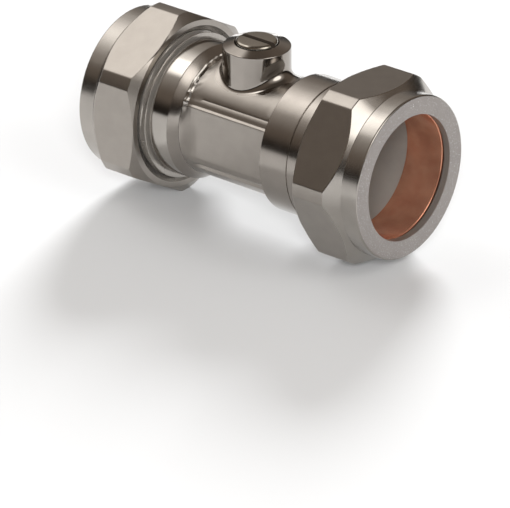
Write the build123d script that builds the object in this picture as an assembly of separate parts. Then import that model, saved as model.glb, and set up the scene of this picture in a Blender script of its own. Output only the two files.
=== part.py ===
from build123d import *
import math
import os

# Isolating valve for 22 mm copper pipe: a ball valve with a slotted spindle and two compression ends.
# Millimetres. +X runs along the pipe axis, +Z up the spindle's tower, origin on the pipe axis at
# the middle of the valve's length.

# Overall
half_length = 30.75
ball_x = -2.6

# Pipe sockets and waterway
socket_r = 11.1
socket_wall = 2.0
waterway_r = 5.4
waterway_chamfer = 0.5

# Compression nuts
nut_length = 13.0
nut_flat_wall = 2.0
nut_corner_height = 1.7
nut_nose_step = 0.65
nut_nose_length = 3.3
nut_nose_edge = 0.35
nut_back_trim = 1.65
nut_front_chamfer_deg = 47.5
nut_back_chamfer_deg = 31.5
nut_mouth_chamfer = 1.2
nut_lip_length = 1.25
nut_bore_edge = 0.12
nut_thread_depth = 8.3
left_nut_turn_deg = 0.7
right_nut_turn_deg = -31.7

# Threads under the nuts
thread_set_back = 8.1
thread_clearance = 0.05
thread_lead_in = 0.6
undercut_depth = 0.3
left_undercut_width = 0.6
right_undercut_width = 0.3
right_band_width = 4.0

# Olives
olive_width = 7.6
olive_wall = 1.05
olive_land = 3.0
olive_end_wall = 0.35
olive_gap = 0.08
olive_cone_deg = 30.0
nut_cone_deg = 45.0

# Body barrel and collars
barrel_wall = 2.0
pad_depth = 1.2
pad_bead_height = 0.4
pad_bead_rise = 0.26
pad_bead_drop = 0.18
pad_bead_root = 0.4
collar_step = 0.95
collar_edge = 0.15
left_collar_width = 3.4
right_collar_width = 5.8
pipe_stop_set_in = 0.2
left_shoulder_width = 1.7
left_shoulder_drop = 1.05
rim_width = 0.7
rim_run = 1.0
rim_gap = 0.05
rim_groove_width = 0.1
rim_groove_depth = 0.4

# Tower
tower_wall = 2.04
tower_height = 4.64
tower_cone_rise = 0.6
tower_edge = 0.18
tower_foot_fillet = 0.8
tower_bore_r = 3.9

# Ball and seats
ball_wall = 2.5
ball_gap = 0.12
seat_cover = 0.2
seat_gap = 0.05
seat_wrap = 1.85
seat_backing = 1.25
ball_slot_depth = 1.7

# Joint between body and end piece
joint_screw_length = 3.4
joint_thread_length = 5.0
joint_thread_height = 0.45
joint_thread_clearance = 0.03

# Spindle
spindle_clearance = 0.05
spindle_lift = 2.0
spindle_stand = 0.32
spindle_head_step = 0.15
spindle_head_height = 1.6
spindle_edge = 0.4
driver_slot_width = 1.3
driver_slot_depth = 1.4
spindle_flange_width = 0.9
spindle_flange_height = 1.15
flange_clearance = 0.15
tang_width = 2.2
tang_gap = 0.1
groove_depth = 1.4
groove_width = 1.6
lower_groove_rise = 1.3
groove_spacing = 2.4
ring_gap = 0.04

# Worked out from the sizes above
thread_r = socket_r + socket_wall
thread_end_x = half_length - thread_set_back
nut_bore_r = thread_r + thread_clearance
nut_flat_r = nut_bore_r + nut_flat_wall
nut_corner_r = nut_flat_r + nut_corner_height
nut_nose_r = nut_flat_r - nut_nose_step
nut_end_face_r = nut_corner_r - nut_back_trim
nut_front_chamfer = (nut_corner_r - nut_nose_r) / math.tan(math.radians(nut_front_chamfer_deg))
nut_back_chamfer = (nut_corner_r - nut_end_face_r) * math.tan(math.radians(nut_back_chamfer_deg))
nut_back_x = half_length - nut_length
nut_cone_x = half_length - nut_lip_length
olive_outer_r = socket_r + olive_wall
olive_end_r = socket_r + olive_end_wall
olive_front_x = nut_cone_x - (olive_end_r - socket_r) / math.tan(math.radians(nut_cone_deg)) - olive_gap
olive_back_x = olive_front_x - olive_width
socket_cone_run = 1 / math.tan(math.radians(olive_cone_deg))
socket_cone_x = olive_back_x - (olive_end_wall + olive_gap) * socket_cone_run
socket_mouth_r = socket_r + (thread_end_x - socket_cone_x) / socket_cone_run
collar_r = thread_r - collar_step
undercut_r = collar_r - undercut_depth
left_shoulder_r = collar_r - left_shoulder_drop
ball_r = waterway_r + ball_wall
port_edge_x = math.sqrt(ball_r**2 - waterway_r**2)
seat_r = ball_r + seat_cover
seat_front_x = port_edge_x - seat_wrap
seat_back_x = port_edge_x + seat_backing
chamber_left_x = ball_x - seat_back_x
chamber_right_x = ball_x + seat_back_x
chamber_r = seat_r + seat_gap
joint_x = chamber_right_x + joint_screw_length
joint_thread_end_x = joint_x - joint_thread_length
joint_thread_r = chamber_r + joint_thread_height
barrel_r = joint_thread_r + barrel_wall
pad_y = barrel_r - pad_depth
pad_half_height = math.sqrt(barrel_r**2 - pad_y**2)
tower_r = tower_bore_r + tower_wall
tower_edge_z = barrel_r + tower_height
tower_top_z = tower_edge_z + tower_cone_rise
left_rim_x = tower_r + tower_foot_fillet + rim_gap - ball_x
left_shoulder_x = left_rim_x + rim_run + rim_width
left_collar_inner_x = left_shoulder_x + left_shoulder_width
left_collar_outer_x = left_collar_inner_x + left_collar_width
left_thread_start_x = left_collar_outer_x + left_undercut_width
right_collar_outer_x = joint_x + right_collar_width
right_band_x = right_collar_outer_x + right_undercut_width
right_thread_start_x = right_band_x + right_band_width
pipe_stop_x = left_collar_inner_x + pipe_stop_set_in
spindle_top_z = tower_top_z + spindle_stand
spindle_shoulder_z = ball_r + spindle_lift
spindle_r = tower_bore_r - spindle_clearance
spindle_head_r = spindle_r - spindle_head_step
spindle_flange_r = spindle_r + spindle_flange_width
flange_pocket_r = spindle_flange_r + flange_clearance
spindle_flange_top_z = spindle_shoulder_z - spindle_clearance
spindle_flange_z = spindle_flange_top_z - spindle_flange_height
tang_z = ball_r - ball_slot_depth + tang_gap
groove_r = spindle_r - groove_depth
lower_groove_z = spindle_shoulder_z + lower_groove_rise
upper_groove_z = lower_groove_z + groove_spacing
ring_centre_r = (groove_r + tower_bore_r) / 2
ring_section_r = (tower_bore_r - groove_r) / 2 - ring_gap


def section(places, roundings):
    """Flat face through the points in the XZ plane, with a radius on the corners that have one."""
    profile = make_face(Polyline(*places, close=True))
    for place, rounding in zip(places, roundings):
        if rounding:
            corner = profile.vertices().sort_by_distance(place)[0]
            profile = fillet(corner, rounding)
    return profile


def pipe_section(outline):
    """Half section of a piece turned about the pipe axis, from (x, radius, corner radius) points."""
    places = [(x, 0, r) for x, r, *_ in outline]
    return section(places, [sum(rounding) for _, _, *rounding in outline])


def turned(outline):
    """Piece turned about the pipe axis."""
    return revolve(pipe_section(outline), axis=Axis.X)


def turned_upright(outline):
    """Piece turned about the spindle's centre line, from (z, radius, corner radius) points."""
    places = [(ball_x + r, 0, z) for z, r, *_ in outline]
    profile = section(places, [sum(rounding) for _, _, *rounding in outline])
    return revolve(profile, axis=Axis((ball_x, 0, 0), (0, 0, 1)))


def mirrored(outline):
    """The same (x, radius) outline for the left end."""
    return [(-along, *rest) for along, *rest in outline]


def socket_hollow(from_x):
    """Outline of the space inside a socket, from the waterway out to the mouth."""
    return [
        (from_x, 0),
        (from_x, waterway_r),
        (pipe_stop_x - waterway_chamfer, waterway_r),
        (pipe_stop_x, waterway_r + waterway_chamfer),
        (pipe_stop_x, socket_r),
        (socket_cone_x, socket_r),
        (thread_end_x, socket_mouth_r),
        (half_length, socket_mouth_r),
        (half_length, 0),
    ]


def threaded_end(thread_start_x):
    """Outside of a threaded end from its thread's start: crest and lead-in chamfer."""
    return [
        (thread_start_x, thread_r),
        (thread_end_x - thread_lead_in, thread_r),
        (thread_end_x, thread_r - thread_lead_in),
        (thread_end_x, 0),
    ]


def tower():
    """The tower with its coned top, from the pipe axis up."""
    return turned_upright(
        [
            (0, 0),
            (0, tower_r),
            (tower_edge_z, tower_r, tower_edge),
            (tower_top_z, tower_bore_r),
            (tower_top_z, 0),
        ]
    )


def tower_hollow():
    """The spindle's bore and the pocket for its flange."""
    return turned_upright(
        [
            (0, 0),
            (0, flange_pocket_r),
            (spindle_shoulder_z, flange_pocket_r),
            (spindle_shoulder_z, tower_bore_r),
            (spindle_top_z, tower_bore_r),
            (spindle_top_z, 0),
        ]
    )


def pad_place():
    """Length of the pads along the barrel and the place of their middle."""
    return joint_x + left_rim_x, (joint_x - left_rim_x) / 2


def pad_cut(side):
    """What the die leaves off the barrel to make a flat pad."""
    length, middle = pad_place()
    slab = Box(length, pad_depth * 2, 2 * pad_half_height)
    return Pos(middle, side * (pad_y + pad_depth), 0) * slab


def pad_bead(side):
    """The raised strip that the die leaves along a pad's upper edge."""
    length, middle = pad_place()
    strip = Box(length, pad_bead_rise + pad_bead_root, pad_bead_height)
    strip_y = pad_y + (pad_bead_rise - pad_bead_root) / 2
    strip_z = pad_half_height - pad_bead_drop + pad_bead_height / 2
    return Pos(middle, side * strip_y, strip_z) * strip


def body():
    """Stamped barrel, tower, pads, left collar and left threaded end, with all its bores."""
    barrel = turned(
        mirrored(
            [
                (-joint_x, 0),
                (-joint_x, barrel_r),
                (left_rim_x, barrel_r),
                (left_shoulder_x - rim_width, left_shoulder_r, rim_width / 4),
                (left_shoulder_x, left_shoulder_r, rim_width / 4),
                (left_shoulder_x + rim_groove_width, left_shoulder_r - rim_groove_depth),
                (left_collar_inner_x, collar_r, collar_edge),
                (left_collar_outer_x, collar_r, collar_edge),
                (left_collar_outer_x, undercut_r),
                (left_thread_start_x, undercut_r),
                *threaded_end(left_thread_start_x),
            ]
        )
    )
    post = tower()
    solid = barrel + post
    foot = new_edges(barrel, post, combined=solid)
    solid = fillet(foot, tower_foot_fillet)
    for side in (-1, 1):
        solid = solid - pad_cut(side) + pad_bead(side)
    chamber = turned(
        [
            (chamber_left_x, 0),
            (chamber_left_x, chamber_r),
            (joint_thread_end_x, chamber_r),
            (joint_thread_end_x, joint_thread_r),
            (half_length, joint_thread_r),
            (half_length, 0),
        ]
    )
    solid = solid - turned(mirrored(socket_hollow(-chamber_left_x)))
    return solid - chamber - tower_hollow()


def end_piece():
    """Turned connector: thread into the body, collar, plain band, threaded end and socket."""
    screw_r = joint_thread_r - joint_thread_clearance
    solid = turned(
        [
            (chamber_right_x, 0),
            (chamber_right_x, screw_r),
            (joint_x, screw_r),
            (joint_x, collar_r, collar_edge),
            (right_collar_outer_x, collar_r, collar_edge),
            (right_collar_outer_x, undercut_r),
            (right_band_x, undercut_r),
            (right_band_x, collar_r),
            (right_thread_start_x, collar_r),
            *threaded_end(right_thread_start_x),
        ]
    )
    return solid - turned(socket_hollow(chamber_right_x - 1))


def nut(turn_deg):
    """Compression nut on the right: hexagon with both chamfers, round nose, lip and thread bore."""
    blank = turned(
        [
            (nut_back_x, 0),
            (nut_back_x, nut_end_face_r),
            (nut_back_x + nut_back_chamfer, nut_corner_r),
            (half_length - nut_nose_length - nut_front_chamfer, nut_corner_r),
            (half_length - nut_nose_length, nut_nose_r),
            (half_length, nut_nose_r, nut_nose_edge),
            (half_length, 0),
        ]
    )
    across = RegularPolygon(nut_flat_r, 6, major_radius=False, rotation=30 + turn_deg)
    hexagon = extrude(Plane.YZ.offset(nut_back_x) * across, nut_length)
    cone_run = (nut_bore_r - thread_clearance - socket_r) / math.tan(math.radians(nut_cone_deg))
    cavity_r = nut_bore_r - thread_clearance
    hollow = turned(
        [
            (nut_back_x, 0),
            (nut_back_x, nut_bore_r + nut_mouth_chamfer),
            (nut_back_x + nut_mouth_chamfer, nut_bore_r),
            (nut_back_x + nut_thread_depth, nut_bore_r),
            (nut_back_x + nut_thread_depth, cavity_r),
            (nut_cone_x - cone_run, cavity_r),
            (nut_cone_x, socket_r),
            (half_length - nut_bore_edge, socket_r),
            (half_length, socket_r + nut_bore_edge),
            (half_length, 0),
        ]
    )
    return (blank & hexagon) - hollow


def olive():
    """Copper ring on the right: straight bore, flat land and a cone at each end."""
    cone = (olive_width - olive_land) / 2
    return turned(
        [
            (olive_back_x, socket_r),
            (olive_back_x, olive_end_r),
            (olive_back_x + cone, olive_outer_r),
            (olive_front_x - cone, olive_outer_r),
            (olive_front_x, olive_end_r),
            (olive_front_x, socket_r),
        ]
    )


def ball():
    """Ball with its port along the pipe axis and the slot for the spindle's tang."""
    solid = Sphere(ball_r) - Rot(0, 90, 0) * Cylinder(waterway_r, 3 * ball_r)
    slot = Box(3 * ball_r, tang_width + 2 * tang_gap, 2 * ball_slot_depth)
    return Pos(ball_x, 0, 0) * (solid - Pos(0, 0, ball_r) * slot)


def seat(side):
    """PTFE ring with a face hollowed to the ball; side is -1 for the left one."""
    block = pipe_section(
        [
            (ball_x + side * seat_front_x, waterway_r),
            (ball_x + side * seat_front_x, seat_r),
            (ball_x + side * seat_back_x, seat_r),
            (ball_x + side * seat_back_x, waterway_r),
        ]
    )
    hollow = Pos(ball_x, 0, 0) * Plane.XZ * Circle(ball_r + ball_gap)
    return revolve(block - hollow, axis=Axis.X)


def spindle():
    """Spindle with slotted head, two ring grooves, retaining flange and tang."""
    shaft = turned_upright(
        [
            (spindle_flange_z, 0),
            (spindle_flange_z, spindle_flange_r),
            (spindle_flange_top_z, spindle_flange_r),
            (spindle_flange_top_z, spindle_r),
            (lower_groove_z - groove_width / 2, spindle_r),
            (lower_groove_z - groove_width / 2, groove_r),
            (lower_groove_z + groove_width / 2, groove_r),
            (lower_groove_z + groove_width / 2, spindle_r),
            (upper_groove_z - groove_width / 2, spindle_r),
            (upper_groove_z - groove_width / 2, groove_r),
            (upper_groove_z + groove_width / 2, groove_r),
            (upper_groove_z + groove_width / 2, spindle_r),
            (spindle_top_z - spindle_head_height, spindle_r),
            (spindle_top_z - spindle_head_height, spindle_head_r),
            (spindle_top_z, spindle_head_r, spindle_edge),
            (spindle_top_z, 0),
        ]
    )
    driver_slot = Box(3 * spindle_head_r, driver_slot_width, 2 * driver_slot_depth)
    shaft = shaft - Pos(ball_x, 0, spindle_top_z) * driver_slot
    tang_height = spindle_flange_z - tang_z
    blade = Box(2 * spindle_flange_r, tang_width, tang_height)
    rod = Cylinder(spindle_r, tang_height)
    middle = Pos(ball_x, 0, (spindle_flange_z + tang_z) / 2)
    return shaft + middle * (blade & rod)


def o_ring(z):
    """Rubber ring in a groove of the spindle."""
    return Pos(ball_x, 0, z) * Torus(ring_centre_r, ring_section_r)


def mirror_left(solid):
    """The same piece at the left end."""
    return mirror(solid, about=Plane.YZ)


pieces = {
    "body": body(),
    "end_piece": end_piece(),
    "left_nut": mirror_left(nut(left_nut_turn_deg)),
    "right_nut": nut(right_nut_turn_deg),
    "left_olive": mirror_left(olive()),
    "right_olive": olive(),
    "ball": ball(),
    "left_seat": seat(-1),
    "right_seat": seat(1),
    "spindle": spindle(),
    "lower_o_ring": o_ring(lower_groove_z),
    "upper_o_ring": o_ring(upper_groove_z),
}

os.makedirs("parts", exist_ok=True)
for name, solid in pieces.items():
    export_step(solid, f"parts/{name}.step")
    print(name, round(solid.volume, 1))
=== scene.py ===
# %% [markdown]
# # An isolating valve, dressed for the camera
# The valve joins two lengths of 22 mm copper pipe and shuts the water off with a quarter turn of a
# screwdriver. Its body is stamped from hot brass, then turned and plated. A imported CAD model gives
# every place and size. This script dresses that model with finer shapes and finishes, part by part.

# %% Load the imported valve
import itertools
import math

import bmesh
import bpy
import numpy as np
from mathutils import Matrix, Vector


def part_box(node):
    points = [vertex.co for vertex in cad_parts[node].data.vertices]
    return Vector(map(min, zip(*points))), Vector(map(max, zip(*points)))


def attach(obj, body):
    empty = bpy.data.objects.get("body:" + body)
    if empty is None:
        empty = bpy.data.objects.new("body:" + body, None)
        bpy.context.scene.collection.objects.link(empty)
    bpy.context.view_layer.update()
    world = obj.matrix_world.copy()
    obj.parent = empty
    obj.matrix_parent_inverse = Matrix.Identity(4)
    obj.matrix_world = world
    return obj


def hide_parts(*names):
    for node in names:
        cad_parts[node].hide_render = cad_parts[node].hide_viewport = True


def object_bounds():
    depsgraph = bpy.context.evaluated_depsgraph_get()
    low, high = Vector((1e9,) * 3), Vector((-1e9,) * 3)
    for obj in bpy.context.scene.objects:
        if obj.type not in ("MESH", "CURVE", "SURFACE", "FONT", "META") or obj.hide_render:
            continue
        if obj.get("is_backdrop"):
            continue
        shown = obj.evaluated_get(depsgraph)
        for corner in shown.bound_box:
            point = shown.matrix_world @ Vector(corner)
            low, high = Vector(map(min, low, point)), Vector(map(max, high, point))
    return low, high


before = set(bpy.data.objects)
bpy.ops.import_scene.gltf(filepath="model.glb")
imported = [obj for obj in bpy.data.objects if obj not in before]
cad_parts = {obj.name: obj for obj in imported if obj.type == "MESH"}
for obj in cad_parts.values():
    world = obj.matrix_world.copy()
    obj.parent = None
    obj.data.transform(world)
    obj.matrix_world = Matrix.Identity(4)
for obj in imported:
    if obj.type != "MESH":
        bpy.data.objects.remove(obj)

cad_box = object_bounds()
mm = 0.001
for name in sorted(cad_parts):
    low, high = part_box(name)
    print(name, [round(v / mm, 2) for v in (*low, *high)])

# %% [markdown]
# ## The camera
# The circles of the nuts and of the tower tell where the photograph was taken from. It is a long
# lens nearly a metre away, so the near nut looks hardly larger than the far one. The camera is placed
# by an azimuth and an elevation round the valve, and by the pixel that the valve's centre falls on.

# %% Place the camera
picture_width, picture_height = 510, 508
azimuth, elevation, roll = (math.radians(v) for v in (39.61, 25.82, -0.17))
camera_distance = 0.87405
focal_pixels = 5084.12
centre_pixel = (268.69, 130.21)
sensor_width = 36.0


def view_axes():
    """Right, up and back directions of the camera."""
    out = math.cos(elevation)
    back = Vector((math.sin(azimuth) * out, -math.cos(azimuth) * out, math.sin(elevation)))
    level = Vector((math.cos(azimuth), math.sin(azimuth), 0))
    upright = back.cross(level)
    right = math.cos(roll) * level + math.sin(roll) * upright
    return right, back.cross(right), back


def added(name, data):
    """New object in the scene."""
    made = bpy.data.objects.new(name, data)
    bpy.context.scene.collection.objects.link(made)
    return made


def place_camera():
    """Camera whose picture has the valve's centre at centre_pixel."""
    right, up, back = view_axes()
    across = (centre_pixel[0] - picture_width / 2) / focal_pixels * camera_distance
    above = (picture_height / 2 - centre_pixel[1]) / focal_pixels * camera_distance
    lens = bpy.data.cameras.new("camera")
    lens.sensor_fit = "HORIZONTAL"
    lens.sensor_width = sensor_width
    lens.lens = focal_pixels / picture_width * sensor_width
    lens.clip_start, lens.clip_end = 0.01, 20
    camera = added("camera", lens)
    turned = Matrix((right, up, back)).transposed().to_4x4()
    place = back * camera_distance - right * across - up * above
    camera.matrix_world = Matrix.Translation(place) @ turned
    bpy.context.scene.camera = camera
    return camera


camera = place_camera()
print("lens", round(camera.data.lens, 1), "mm at", [round(v, 3) for v in camera.location])

# %% [markdown]
# ## Nodes by name
# Materials and Geometry Nodes are both graphs of small steps. Two helpers keep them readable: one adds
# a node and feeds its inputs, the other adds one step of arithmetic.

# %% Helpers for node graphs
def node(tree, kind, feeds=(), **settings):
    """Adds a node, sets its options and feeds its inputs with values or with other nodes' outputs."""
    made = tree.nodes.new(kind)
    for key, value in settings.items():
        setattr(made, key, value)
    for key, value in dict(feeds).items():
        if isinstance(value, bpy.types.NodeSocket):
            tree.links.new(value, made.inputs[key])
        else:
            made.inputs[key].default_value = value
    return made


def calc(tree, operation, *values):
    """Adds one step of arithmetic and gives its result."""
    return node(tree, "ShaderNodeMath", dict(enumerate(values)), operation=operation).outputs[0]


# %% [markdown]
# ## Patterns in a material
# A material has to look right from all sides and on any piece, so each pattern follows the place on the
# piece itself. The helpers below give that place, a cloudy pattern, and ways to use one: as a range of
# values, as a soft step, or as relief.

# %% Helpers for patterns
def object_place(tree):
    """Place on the piece, and its distance from the pipe axis, in metres."""
    place = node(tree, "ShaderNodeTexCoord").outputs["Object"]
    parts = node(tree, "ShaderNodeSeparateXYZ", {"Vector": place}).outputs
    squares = [calc(tree, "POWER", parts[way], 2.0) for way in "YZ"]
    return place, parts, calc(tree, "SQRT", calc(tree, "ADD", *squares))


def noise(tree, place, size, detail=3.0, roughness=0.5):
    """Cloudy pattern whose lumps are about size metres wide."""
    feeds = {"Vector": place, "Scale": 1 / size, "Detail": detail, "Roughness": roughness}
    return node(tree, "ShaderNodeTexNoise", feeds).outputs["Fac"]


def spread(tree, value, low, high):
    """Turns a cloudy pattern into values from low to high."""
    feeds = {"Value": value, "From Min": 0.3, "From Max": 0.7, "To Min": low, "To Max": high}
    return node(tree, "ShaderNodeMapRange", feeds).outputs["Result"]


def ramp(tree, value, start, end, low, high):
    """Soft change from low to high as the value goes from start to end."""
    feeds = {"Value": value, "From Min": start, "From Max": end, "To Min": low, "To Max": high}
    return node(tree, "ShaderNodeMapRange", feeds, interpolation_type="SMOOTHSTEP").outputs["Result"]


def mixed(tree, share, first, second):
    """Mix of two colours; the first may be another node's output."""
    mix = node(tree, "ShaderNodeMix", {"Factor": share}, data_type="RGBA")
    mix.inputs["B"].default_value = (*second, 1)
    if isinstance(first, bpy.types.NodeSocket):
        tree.links.new(first, mix.inputs["A"])
    else:
        mix.inputs["A"].default_value = (*first, 1)
    return mix.outputs["Result"]


def relief(tree, pattern, depth, under=None):
    """Makes the pattern look depth millimetres deep, on top of another relief if there is one."""
    feeds = {"Strength": 1.0, "Distance": depth * mm, "Height": pattern}
    if under is not None:
        feeds["Normal"] = under
    return node(tree, "ShaderNodeBump", feeds).outputs["Normal"]


def new_material(name):
    """Empty material, its tree and its shader."""
    made = bpy.data.materials.new(name)
    made.use_nodes = True
    return made, made.node_tree, made.node_tree.nodes["Principled BSDF"]


# %% [markdown]
# ## Plated brass
# Bright nickel and chrome on brass is a mirror that is a little warm and a little dark. What tells
# one surface from another is how smooth it was before plating. A turned neck has rings round its
# axis, a stamped barrel has a soft pebbled skin and a hexagon bar has faint lines along it. One
# function makes them all. The rings follow the place along the pipe axis and the distance from it, so
# they run round every turned surface without a map. Lines finer than a pixel would only turn to grain
# in the picture, so on the collars the roughness alone stands for them.

# %% Finish of the metal surfaces
def line_pattern(tree, parts, from_axis, size, drawn):
    """Lines round the pipe axis, or along it on drawn metal."""
    if drawn:
        stretched = calc(tree, "MULTIPLY", parts["X"], 0.04)
        feeds = {"X": stretched, "Y": parts["Y"], "Z": parts["Z"]}
    else:
        feeds = {"X": parts["X"], "Y": from_axis}
    return noise(tree, node(tree, "ShaderNodeCombineXYZ", feeds).outputs["Vector"], size, 2.0)


def metal(
    name, colour, roughness, mottle=0.04, bare=1.0, glints=0.0, lines=None, skin=None, drawn=False
):
    """Plated or bare metal.

    bare is 1 for clean metal, and less where a dull film scatters some of the light. mottle is how
    much its colour drifts, and glints is how bright the tiny torn spots of a cut face are. lines and
    skin are (depth, size) in millimetres of its turned or drawn lines and of its pebbled skin.
    """
    made, tree, shader = new_material(name)
    shader.inputs["Metallic"].default_value = bare
    place, parts, from_axis = object_place(tree)
    dark, light = ([min(1, c * (1 + way * mottle)) for c in colour] for way in (-1, 1))
    shade = mixed(tree, spread(tree, noise(tree, place, 2.5 * mm, 4.0), 0.0, 1.0), dark, light)
    if glints:
        spots = noise(tree, place, 0.22 * mm, 3.0, 0.7)
        shade = mixed(tree, ramp(tree, spots, 0.6, 0.68, 0.0, glints), shade, (0.9, 0.9, 0.9))
    tree.links.new(shade, shader.inputs["Base Color"])
    fine = noise(tree, place, 0.35 * mm, 5.0, 0.6)
    tree.links.new(spread(tree, fine, roughness * 0.94, roughness * 1.06), shader.inputs["Roughness"])
    shape = None
    if lines:
        shape = relief(tree, line_pattern(tree, parts, from_axis, lines[1] * mm, drawn), lines[0])
    if skin:
        shape = relief(tree, noise(tree, place, skin[1] * mm, 4.0, 0.55), skin[0], shape)
    if shape is not None:
        tree.links.new(shape, shader.inputs["Normal"])
    return made


plate = (0.34, 0.312, 0.283)
bright = (0.39, 0.365, 0.335)
turned_plate = metal("turned_plate", plate, 0.17)
bright_plate = metal("bright_plate", bright, 0.11, skin=(0.0006, 0.7))
nose_plate = metal("nose_plate", bright, 0.2)
bore_plate = metal("bore_plate", bright, 0.45, bare=0.6, skin=(0.0015, 0.5))
neck_plate = metal("neck_plate", bright, 0.2, bare=0.72, lines=(0.002, 0.5))
stamped_plate = metal("stamped_plate", plate, 0.32, skin=(0.003, 0.4))
flash_plate = metal("flash_plate", bright, 0.16, skin=(0.06, 0.7))
polished_plate = metal("polished_plate", plate, 0.11)
hexagon_plate = metal("hexagon_plate", plate, 0.3, lines=(0.006, 0.45), drawn=True)
face_plate = metal(
    "face_plate", (0.31, 0.285, 0.27), 0.34, glints=0.7, lines=(0.003, 0.5), skin=(0.02, 0.3)
)
lip_plate = metal("lip_plate", plate, 0.3, bare=0.7, skin=(0.001, 0.5))
spindle_plate = metal("spindle_plate", (0.35, 0.32, 0.275), 0.2, skin=(0.001, 0.5))
copper = metal("drawn_copper", (0.94, 0.43, 0.28), 0.22, mottle=0.18, bare=0.85)
# Darker brown finish for the screwdriver slot: painted shade inside the narrow recess.
slot_shade_plate = metal("slot_shade_plate", (0.2, 0.165, 0.135), 0.4, bare=0.8)
ball_plate = metal("ball_plate", (0.6, 0.6, 0.58), 0.05, skin=(0.0002, 0.5))
print("plated finishes:", len([m for m in bpy.data.materials if "plate" in m.name]))

# %% [markdown]
# ## White plastic and black rubber
# The seats are waxy white plastic that lets a little light in. The rings on the spindle are black
# rubber with a dull sheen.

# %% Finish of the seats and rings
def soft_finish(name, colour, roughness, size):
    """Moulded plastic or rubber with faint mottling and a fine skin."""
    made, tree, shader = new_material(name)
    place = object_place(tree)[0]
    shade = mixed(tree, noise(tree, place, 1.2 * mm), [c * 0.9 for c in colour], colour)
    tree.links.new(shade, shader.inputs["Base Color"])
    shader.inputs["Roughness"].default_value = roughness
    tree.links.new(relief(tree, noise(tree, place, size * mm), 0.004), shader.inputs["Normal"])
    return made


seat_plastic = soft_finish("seat_plastic", (0.86, 0.86, 0.83), 0.42, 0.2)
ring_rubber = soft_finish("ring_rubber", (0.022, 0.022, 0.022), 0.55, 0.12)
print("soft finishes:", seat_plastic.name, ring_rubber.name)

# %% [markdown]
# ## Profiles
# Nearly every part of a valve comes off a lathe, so it is a profile turned round the axis. A profile is
# a list of corners: place along the axis, radius, and how much the edge is rounded, all in millimetres.
# Real edges are never quite sharp, and the small arc is what catches the light.

# %% Rounded profiles
def arc(before, here, after, rounding, steps):
    """Points of the small arc that replaces the corner here."""
    to_before, to_after = (
        (place - here) / np.linalg.norm(place - here) for place in (before, after)
    )
    half = math.acos(np.clip(to_before @ to_after, -1, 1)) / 2
    middle = to_before + to_after
    centre = here + middle / np.linalg.norm(middle) * rounding / math.sin(half)
    start, end = (here + way * rounding / math.tan(half) - centre for way in (to_before, to_after))
    first, last = (math.atan2(place[1], place[0]) for place in (start, end))
    swing = (last - first + math.pi) % math.tau - math.pi
    angles = first + swing * np.linspace(0, 1, steps)
    return [centre + rounding * np.array((math.cos(a), math.sin(a))) for a in angles]


def rounded(corners, steps=4):
    """Closed outline through (along, radius, rounding) corners."""
    places = [np.array(corner[:2], float) for corner in corners]
    outline = []
    for k, corner in enumerate(corners):
        if len(corner) > 2 and corner[2]:
            after = places[(k + 1) % len(places)]
            outline += arc(places[k - 1], places[k], after, corner[2], steps)
        else:
            outline.append(places[k])
    return np.array(outline + [outline[0]])


# %% [markdown]
# ## Screw threads
# A thread is a groove that climbs one pitch for every turn. Cutting it with a swept tool is slow and
# leaves a seam, so here the turned surface itself is moved: each point's depth depends only on how far
# along and how far round it is. The rows of the profile have to be closer together where the thread
# is. The same rule cuts a nut's inside, with a little clearance, and then the two fit as they turn.

# %% Rows of a profile, closer where a thread is cut
thread_pitch = 1.5
thread_crest = 13.1
thread_depth = 0.85
thread_clearance = 0.06
rows_per_pitch = 12
thread_radii = (11.9, 14.3)
outside_thread, inside_thread = 1.0, 2.0


def thread_rows(outline, start, end, kind):
    """The outline with close rows from start to end, and a mark on each row that the thread cuts."""
    step = thread_pitch / rows_per_pitch
    rows, marks = [], []
    for here, after in zip(outline[:-1], outline[1:]):
        along, radii = sorted((here[0], after[0])), sorted((here[1], after[1]))
        in_reach = start <= along[0] and along[1] <= end
        cut_here = in_reach and thread_radii[0] < radii[0] and radii[1] < thread_radii[1]
        count = max(1, round((along[1] - along[0]) / step)) if cut_here else 1
        rows += [here + (after - here) * k / count for k in range(count)]
        marks += [kind if cut_here else 0.0] * count
    return np.array(rows + [outline[-1]]), np.array(marks + [marks[0]])


# %% [markdown]
# ## Steps shared by the shape trees
# A shape tree lays out a grid with one row for each profile point and one column for each step round,
# cuts the thread, bends the grid into place and welds the seam. Each of these is a helper, because
# the lathe and the nut both need them. A tree's sizes are inputs, so one tree can make many pieces.

# %% Helpers for the shape trees
def tree_with(name, sizes):
    """New Geometry Nodes tree with a geometry input, named size inputs and a material input."""
    tree = bpy.data.node_groups.new(name, "GeometryNodeTree")
    for label, kind in (("Profile", "Geometry"), *sizes, ("Finish", "Material")):
        tree.interface.new_socket(label, in_out="INPUT", socket_type="NodeSocket" + kind)
    tree.interface.new_socket("Piece", in_out="OUTPUT", socket_type="NodeSocketGeometry")
    return tree, tree.nodes.new("NodeGroupInput").outputs


thread_sizes = (("Pitch", "Float"), ("Crest", "Float"), ("Depth", "Float"), ("Clearance", "Float"))


def read_row(tree, given, row, name, kind):
    """Value of a named attribute at the profile point with that number."""
    stored = node(tree, "GeometryNodeInputNamedAttribute", {"Name": name}, data_type=kind)
    sample = node(tree, "GeometryNodeSampleIndex", {"Geometry": given["Profile"]}, data_type=kind)
    tree.links.new(stored.outputs["Attribute"], sample.inputs["Value"])
    tree.links.new(row, sample.inputs["Index"])
    return sample.outputs["Value"]


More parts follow.
